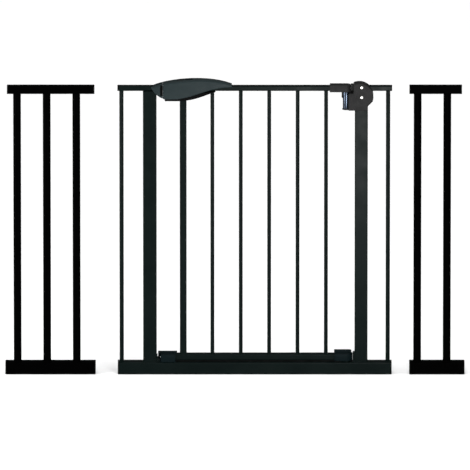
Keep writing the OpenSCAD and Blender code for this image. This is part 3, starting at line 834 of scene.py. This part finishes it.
def housing_tools():
    side = housing_high.y
    post_left, post_y = hinge_post_low.x, hinge_post_high.y
    inside = side - 2.8
    post_room = (post_left, hinge_post_low.y, housing_foot - 1), (post_right + 0.05, post_y, rail_bottom)
    hollow = (post_right - 1, -inside, housing_foot + 25.5), (post_right + 8, inside, rail_bottom - 2)
    tools = [
        sharp_box(*post_room),
        sharp_box((post_left, rail_low.y, rail_bottom - 0.5), (post_right + 60, rail_high.y, gate_top)),
        sharp_box(*hollow),
        post(hinge_x, 0, barrel_room, well_floor, lug_bottom),
        post(hinge_x, 0, cap_room, lug_bottom - 0.4, ABOVE),
        sharp_box((hinge_x, -4, housing_foot + 4), (post_left + 1, 4, lug_bottom - 1.8)),
    ]
    return tools + [screw_hole(bolt_x, z) for z in screw_levels]


def housing_shell(name, side, node):
    """Half of the housing, with an arc-shaped groove in its face and sunk seats for the screws."""
    face = side * housing_high.y
    rounds = (1.6, 0.25) if side < 0 else (0.25, 1.6)
    body = prism(rounded(housing_outline(), 3.0), *sorted((0, face)), across, *rounds)
    lip = prism(lip_outline(side), housing_foot + 0.1, housing_foot + 3, upright, 0.5, 0.5)
    parts = [body, lip]
    if side > 0:
        # Set-back web that closes the gap beside the cap
        low, high = (hinge_x + 12.15, 3, shoulder_z - 1), (housing_left + 2, face - 0.5, gate_top + 1.5)
        parts.append(sharp_box(low, high))
    seat_ends = sorted((face - side * 1.2, face + side * 2))
    seats = [rod(bolt_x, z, SCREW_HEAD_R + 0.5, *seat_ends) for z in screw_levels]
    groove = prism(groove_outline(), *sorted((face - side * 0.5, face + side)), across)
    body = cut(joined(*parts), *housing_tools(), *seats, groove)
    piece(name, body, "gate_frame", "housing_plastic", node)


def lip_outline(side):
    """Half of the lip that carries the barrel, seen from above."""
    radius = 10.5
    turns = [math.pi / 2 + math.pi / 2 * k / 16 for k in range(17)]
    curve = [(hinge_x + radius * math.cos(a), side * radius * math.sin(a)) for a in turns]
    return [(hinge_x + 10, 0), (hinge_x + 10, side * radius)] + curve


def groove_outline():
    """Arc-shaped band inside the rim of the housing's disc."""
    radius, width, reach, steps = 29.5, 0.8, 65, 40
    turns = [math.radians(reach * (2 * k / steps - 1)) for k in range(steps + 1)]
    outer, inner = (
        [(disc_x + r * math.cos(a), disc_z + r * math.sin(a)) for a in turns]
        for r in (radius + width / 2, radius - width / 2)
    )
    return outer + inner[::-1]


housing_shell("hinge_shell_front", -1, "hinge_housing_front")
housing_shell("hinge_shell_rear", 1, "hinge_housing_rear")


def hinge_top_cap():
    """Moulded end of the top rail: round over the barrel, with a lug that reaches down behind it."""
    half = cap_high.y
    under = rail_bottom - 2.5
    turns = [-math.pi / 2 + math.pi * k / 24 for k in range(25)]
    plan = [(cap_low.x, half), (cap_low.x, -half)]
    plan += [(hinge_x + half * math.cos(a), half * math.sin(a)) for a in turns]
    block = prism(rounded(plan, 2.0), under, cap_high.z, round_low=0.6, round_high=1.2)
    lug = post(hinge_x, 0, half, lug_bottom, under + 3, 0.8)
    front = ((-30, -18), (-30, -40), (30, -40), (30, -18), (0, 0))
    opening = [(hinge_x + dx, y) for dx, y in front]
    hollow = post(hinge_x, 0, barrel_high.y + 0.4, lug_bottom - 1, under)
    lug = cut(lug, hollow, prism(opening, lug_bottom - 1, under))
    pocket = sharp_box((cap_low.x - 1, rail_low.y, rail_bottom), (rail_high.x, rail_high.y, gate_top))
    bore = post(hinge_x, 0, 4.0, under - 1, under + 8)
    cap = cut(joined(block, lug), pocket, bore)
    piece("hinge_cap_moulding", cap, "door", "housing_plastic", "hinge_cap")


hinge_top_cap()


def polished_barrel():
    """Mirror-smooth barrel with eased rims and the web that holds it to the post."""
    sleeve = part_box("hinge_sleeve")
    bore_r = (sleeve[1].x - sleeve[0].x) / 2 / MM + 0.05
    tube = post(hinge_x, 0, -barrel_low.y, barrel_low.z, barrel_high.z, 0.7, 0.7)
    web = sharp_box((hinge_x, -4, barrel_low.z + 1), (barrel_high.x, 4, lug_bottom - 2))
    bore = post(hinge_x, 0, bore_r, barrel_low.z - 1, barrel_high.z + 1)
    piece("barrel_tube", cut(joined(tube, web), bore), "gate_frame", "barrel_steel", "hinge_barrel")


polished_barrel()


# ---------------------------------------------------------------- bottom blocks


def bottom_hinge():
    low, high = box_mm("bottom_hinge_block")
    left, half = hinge_x - 29.5, 17.0
    turns = [-math.pi / 2 + math.pi * k / 28 for k in range(29)]
    plan = [(left, half), (left, -half)]
    plan += [(hinge_x + half * math.cos(a), half * math.sin(a)) for a in turns]
    reach = half - 0.15
    round_plan = [(low.x - 5, reach), (low.x - 5, -reach)]
    round_plan += [(hinge_x + reach * math.cos(a), reach * math.sin(a)) for a in turns]
    round_end = prism(round_plan, low.z, high.z + 1)
    body = prism(rounded(plan, 2.5), low.z, sill_high.z + 2, round_low=0.8, round_high=1.4)
    step = soft_box((low.x, 4, sill_high.z), (hinge_x + 14, 15.5, high.z), 0.9, 2.0)
    step = shaped(step, "INTERSECT", round_end)
    rail = sharp_box((low.x - 2, sill_low.y, sill_low.z), (sill_high.x, sill_high.y, sill_high.z))
    bore = post(hinge_x, 0, 6.5, low.z - 1, sill_high.z)
    moulding = cut(joined(body, step), rail, bore)
    piece("bottom_hinge_moulding", moulding, "door", "block_plastic", "bottom_hinge_block")


bottom_hinge()


def bottom_latch():
    """Moulding with the slot that drops over the catch, stepped up at the back."""
    low, high = box_mm("bottom_latch_block")
    left, right = seam_x - 5.5, seam_x + 33
    body = soft_box((left, low.y, low.z), (right, high.y, sill_high.z), 1.3, 2.2)
    step = soft_box((low.x, 2, base_top + 10.5), (high.x, high.y, high.z), 0.9, 2.0)
    cover = soft_box((right - 4, -15, sill_high.z - 2), (high.x, 3, sill_high.z + 1.5), 0.6, 1.5)
    tools = [
        sharp_box((right, sill_low.y, sill_low.z), (right + 20, sill_high.y, sill_high.z)),
        sharp_box((right, -16, sill_low.z), (right + 20, sill_low.y + 1, sill_high.z)),
        sharp_box((left - 20, -3.3, low.z - 1), (left + 12, 3.3, base_top + 10.5)),
    ]
    body = cut(joined(body, step, cover), *tools)
    piece("bottom_latch_moulding", body, "door", "block_plastic", "bottom_latch_block")


bottom_latch()


def catch_block():
    """Ribbed block on the latch post, with the tab that stands in the moulding's slot."""
    left, floor = latch_post_high.x, base_top
    top = floor + 10
    parts = [
        soft_box((left - 1, -13, floor), (left + 8.5, 13, top), 0.7, 1.2),
        soft_box((left + 4, -2.5, floor), (left + 14, 2.5, top), 0.6, 1.0),
        soft_box((left - 1, -9, floor), (left + 2, 9, floor + 18), 0.7, 0.95),
    ]
    for side in (-1, 1):
        outer = side * (latch_post_high.y + 1.6)
        reach = left + (3.6 if side < 0 else 2.0)
        ends = sorted((side * 8.0, outer))
        low, high = (left + 0.1, ends[0], floor + 2), (left + 1.95, ends[1], floor + 16.5)
        parts.append(sharp_box(low, high))
        ends = sorted((side * (latch_post_high.y - 0.6), outer))
        for i in range(3):
            z = floor + 2 + 6 * i
            parts.append(soft_box((left - 8, ends[0], z), (reach, ends[1], z + 2.5), 0.5))
    piece("catch_block", joined(*parts), "gate_frame", "gate_paint", "bottom_catch")


catch_block()


def pin_bracket():
    """Block between the hinge post and the lower pin's collar."""
    low, high = box_mm("lower_hinge_bracket")
    block = soft_box((hinge_x + 17.3, -13, low.z), (high.x + 0.5, 13, high.z), 0.8, 1.3)
    ramp = prism(
        [(low.x, low.z), (high.x, low.z), (high.x, low.z + 3.6)], low.y, -12.0, across, 0.2, 0.0
    )
    piece("pin_bracket", joined(block, ramp), "gate_frame", "gate_paint", "lower_hinge_bracket")


pin_bracket()


# ---------------------------------------------------------------- screws and nuts


def cross_screw(x, z, shank_r, seat, tip, rise):
    """Pan head on a shank through Y, with a cross recess. The head rises from seat, away from tip."""
    away = 1 if seat > tip else -1
    head_steps = 8
    rings = []
    for k in range(head_steps + 1):
        a = math.pi / 2 * k / head_steps
        r = SCREW_HEAD_R * (0.35 + 0.65 * math.cos(a)) if k else SCREW_HEAD_R
        y = seat + away * rise * (0.35 + 0.65 * math.sin(a)) if k else seat
        rings.append([(px, y, pz) for px, pz in circle(x, z, r, 32)])
    head = loft(rings)
    shank = rod(x, z, shank_r, *sorted((seat + away * 0.3, tip)))
    screw = joined(head, shank)
    top = seat + away * rise
    ends = sorted((top - away * rise * 1.6, top + away))
    arm, breadth = SCREW_HEAD_R * 0.98, SCREW_HEAD_R * 0.38
    for w, h in ((arm, breadth), (breadth, arm)):
        slot = rectangle(x - w / 2, x + w / 2, z - h / 2, z + h / 2)
        screw = cut(screw, prism(slot, *ends, across))
    return screw


def hex_nut(x, z, low, high, flat_r, bore_r):
    """Hexagon nut with its corners turned down."""
    nut = prism(circle(x, z, flat_r, 6), low, high, across)
    turned = prism(circle(x, z, flat_r * 0.985), low, high, across, 0.5, 0.5)
    return cut(shaped(nut, "INTERSECT", turned), rod(x, z, bore_r, low - 1, high + 1))


housing_side = housing_high.y
piece(
    "housing_cross_screws",
    merged(*[
        cross_screw(bolt_x, z, SCREW_R, -housing_side + 1.2, housing_side, 2.1) for z in screw_levels
    ]),
    "gate_frame", "steel", "housing_screws",
)
nut_low, nut_high = box_mm("housing_nuts")
piece(
    "housing_hex_nuts",
    merged(*[hex_nut(bolt_x, z, nut_low.y, nut_high.y, 4.0, SCREW_R) for z in screw_levels]),
    "gate_frame", "steel", "housing_nuts",
)
piece(
    "handle_cross_screws",
    merged(*[
        cross_screw(x, handle_screw_z, TAPPED_R, screw_seat, -screw_seat, 1.8)
        for x in handle_screw_places
    ]),
    "door", "steel", "handle_screws",
)
piece(
    "keeper_cross_screw",
    cross_screw(keeper_screw_x, keeper_screw_z, TAPPED_R, screw_seat, -screw_seat + 0.5, 2.0),
    "gate_frame", "steel", "keeper_screw",
)


# ---------------------------------------------------------------- end plugs


def plug(x, z, size, towards, bore_z):
    """Drilled end plug: a softly edged flange and a plain body inside the tube."""
    depth, height = size
    half_y, half_z, wall = depth / 2, height / 2, 1.6
    flange = rounded(rectangle(-half_y, half_y, z - half_z, z + half_z), 2.5)
    inner = rectangle(-half_y + wall, half_y - wall, z - half_z + wall, z + half_z - wall)
    inner = rounded(inner, 1.8)
    ends = sorted((x, x + towards * PLUG_FLANGE))
    rounds = (0.9, 0.1) if towards > 0 else (0.1, 0.9)
    body_ends = sorted((x + towards * (PLUG_FLANGE - 0.5), x + towards * (PLUG_FLANGE + PLUG_BODY)))
    body = joined(prism(flange, *ends, along, *rounds), prism(inner, *body_ends, along))
    bore = prism(circle(0, bore_z, PLUG_BORE_R), x - 30, x + 30, along)
    sink_ends = sorted((x - towards, x + towards * 0.8))
    sink = prism(circle(0, bore_z, min(5.6, half_y - 2)), *sink_ends, along)
    return cut(body, bore, sink)


def plug_pair(name, node, body, bore_z=None):
    """Both plugs of a rail, in the place of the node that holds them."""
    low, high = box_mm(node)
    size = (high.y - low.y, high.z - low.z)
    z = (low.z + high.z) / 2
    level = z if bore_z is None else bore_z
    plugs = merged(plug(low.x, z, size, 1, level), plug(high.x, z, size, -1, level))
    piece(name, plugs, body, "dark_plastic", node)


plug_pair("base_rail_caps", "base_end_plugs", "gate_frame")
plug_pair("stub_rail_caps", "stub_end_plugs", "gate_frame")
for panel in ("left_panel", "right_panel"):
    plug_pair(f"{panel}_top_caps", f"{panel}_top_plugs", panel, rail_mid)
    plug_pair(f"{panel}_base_caps", f"{panel}_base_plugs", panel)


# ---------------------------------------------------------------- weld beads

dice = random.Random(7)
BAR_BEAD_R = 1.15


def bead(path, radius):
    """A rippled weld bead along a closed path of (point, outward) pairs."""
    sides = 8
    rings = []
    ripple = dice.uniform(0, 6)
    for i, (point, outward) in enumerate(path):
        swell = radius * (1 + 0.16 * math.sin(i * 1.9 + ripple) + dice.uniform(-0.07, 0.07))
        ring = []
        for j in range(sides):
            a = 2 * math.pi * j / sides
            up = Vector((0, 0, swell * math.sin(a)))
            ring.append(Vector(point) + Vector(outward) * swell * math.cos(a) + up)
        rings.append(ring)
    return loft(rings, closed=True)


def round_path(x, z, radius):
    return [((x + radius * c, radius * s, z), (c, s, 0)) for c, s in circle(0, 0, 1, 30)]


def square_path(x, z, half_x, half_y):
    """Path round an upright square tube, with a point every 2.5 mm or so."""
    corners = rounded(rectangle(x - half_x, x + half_x, -half_y, half_y), 2.5, 4)
    path = []
    for i, start in enumerate(corners):
        end = corners[(i + 1) % len(corners)]
        count = max(1, round((end - start).length / 2.5))
        way = (end - start).normalized()
        for k in range(count):
            p = start.lerp(end, k / count)
            path.append(((p.x, p.y, z), (way.y, -way.x, 0)))
    return path


def bar_welds(body, slot, nodes):
    """Beads round both ends of round bars, as one piece."""
    beads = []
    for node in nodes:
        low, high = box_mm(node)
        middle, r = (low.x + high.x) / 2, (high.x - low.x) / 2
        beads += [bead(round_path(middle, z, r), BAR_BEAD_R) for z in (low.z, high.z)]
    piece(f"bar_welds_{body}", merged(*beads), body, slot)


def tube_welds(name, body, node, levels, radius=1.5):
    """Beads round a square tube where it meets a rail."""
    low, high = box_mm(node)
    middle = (low.x + high.x) / 2
    half_x, half_y = (high.x - low.x) / 2, (high.y - low.y) / 2
    beads = [bead(square_path(middle, z, half_x, half_y), radius) for z in levels]
    piece(name, merged(*beads), body, "gate_paint")


bar_welds("gate_frame", "gate_paint", ("left_outer_bar", "right_outer_bar"))
bar_welds("door", "gate_paint", [f"door_bar_{i}" for i in range(1, 6)])
bar_welds("left_panel", "panel_paint", [f"left_panel_bar_{i}" for i in (1, 2, 3)])
bar_welds("right_panel", "panel_paint", [f"right_panel_bar_{i}" for i in (1, 2)])
tube_welds("latch_post_welds", "gate_frame", "latch_post", (base_top,))
tube_welds("hinge_post_welds", "gate_frame", "hinge_post", (base_top,))
tube_welds("stile_welds", "door", "door_stile", (sill_high.z,), 1.2)


# ---------------------------------------------------------------- floor, light and camera


def floor():
    """Wide pale floor with the faintest drift in tone."""
    f = Finish("floor_paint", Specular_IOR_Level=0.1)
    tone = f.span(f.noise(900, 3), 0.3, 0.7, 0.0, 1.0)
    colour = f.blend(tone, (0.9, 0.9, 0.9), (0.93, 0.93, 0.93))
    roughness = f.span(f.noise(400, 2), 0.3, 0.7, 0.85, 0.95)
    material = f.done(colour, roughness, f.bump(f.noise(60, 3), 0.1, 0.1))
    bm = bmesh.new()
    bmesh.ops.create_grid(bm, x_segments=8, y_segments=8, size=60)
    mesh = bpy.data.meshes.new("studio_floor")
    bm.to_mesh(mesh)
    bm.free()
    mesh.materials.append(material)
    obj = bpy.data.objects.new("studio_floor", mesh)
    obj.location.z = cad_box[0].z - 0.0005
    bpy.context.scene.collection.objects.link(obj)


def panel_light(name, place, target, size, power):
    """Rectangular soft light that the camera doesn't see."""
    data = bpy.data.lights.new(name, "AREA")
    data.shape, data.size, data.size_y = "RECTANGLE", *size
    data.energy = power
    obj = bpy.data.objects.new(name, data)
    obj.location = place
    obj.rotation_euler = (Vector(target) - Vector(place)).to_track_quat("-Z", "Y").to_euler()
    obj.visible_camera = False
    bpy.context.scene.collection.objects.link(obj)


def studio():
    """White room with a dark wall behind the gate, two soft boxes in front and a soft light above."""
    world = bpy.data.worlds.new("studio")
    world.use_nodes = True
    nodes, links = world.node_tree.nodes, world.node_tree.links
    way = nodes.new("ShaderNodeSeparateXYZ")
    links.new(nodes.new("ShaderNodeTexCoord").outputs["Generated"], way.inputs["Vector"])
    wall = []
    for axis, clear, dark in (("Y", 0.05, 0.45), ("Z", 0.75, 0.5)):
        step = nodes.new("ShaderNodeMapRange")
        links.new(way.outputs[axis], step.inputs["Value"])
        step.inputs["From Min"].default_value, step.inputs["From Max"].default_value = clear, dark
        wall.append(step.outputs["Result"])
    both = nodes.new("ShaderNodeMath")
    both.operation = "MULTIPLY"
    tone = nodes.new("ShaderNodeMix")
    tone.data_type = "RGBA"
    room, back_wall = [s for s in tone.inputs if s.type == "RGBA"]
    room.default_value, back_wall.default_value = (1.0, 1.0, 1.0, 1.0), (0.03, 0.03, 0.03, 1.0)
    for output, socket in zip(wall, both.inputs):
        links.new(output, socket)
    links.new(both.outputs["Value"], tone.inputs[0])
    sky = nodes["Background"]
    links.new([s for s in tone.outputs if s.type == "RGBA"][0], sky.inputs["Color"])
    sky.inputs["Strength"].default_value = 1.3
    bpy.context.scene.world = world
    middle = (cad_box[0] + cad_box[1]) / 2
    panel_light("left_softbox", (-1.9, -0.95, 0.42), (0.2, 0, 0.35), (0.4, 0.7), 34)
    panel_light("strip", (0.40, -1.6, 0.40), (0.34, 0, 0.72), (0.42, 0.5), 23)
    panel_light("overhead", (-0.3, -0.6, 3.2), middle, (2.4, 1.6), 14)


def camera():
    """Long lens far off in front of the gate, looking slightly down on it."""
    pitch = math.radians(13)
    distance = 45.0
    view_width = 1.21025
    target = Vector((0.0002, 0, 0.3651))
    back = Vector((0, -math.cos(pitch), math.sin(pitch)))
    data = bpy.data.cameras.new("camera")
    data.sensor_width = 36.0
    data.lens = data.sensor_width * distance / view_width
    data.clip_end = 200.0
    obj = bpy.data.objects.new("camera", data)
    obj.location = target + back * distance
    obj.rotation_euler = (-back).to_track_quat("-Z", "Y").to_euler()
    bpy.context.scene.collection.objects.link(obj)
    bpy.context.scene.camera = obj


floor()
studio()
camera()
bpy.context.scene.view_settings.view_transform = "Standard"
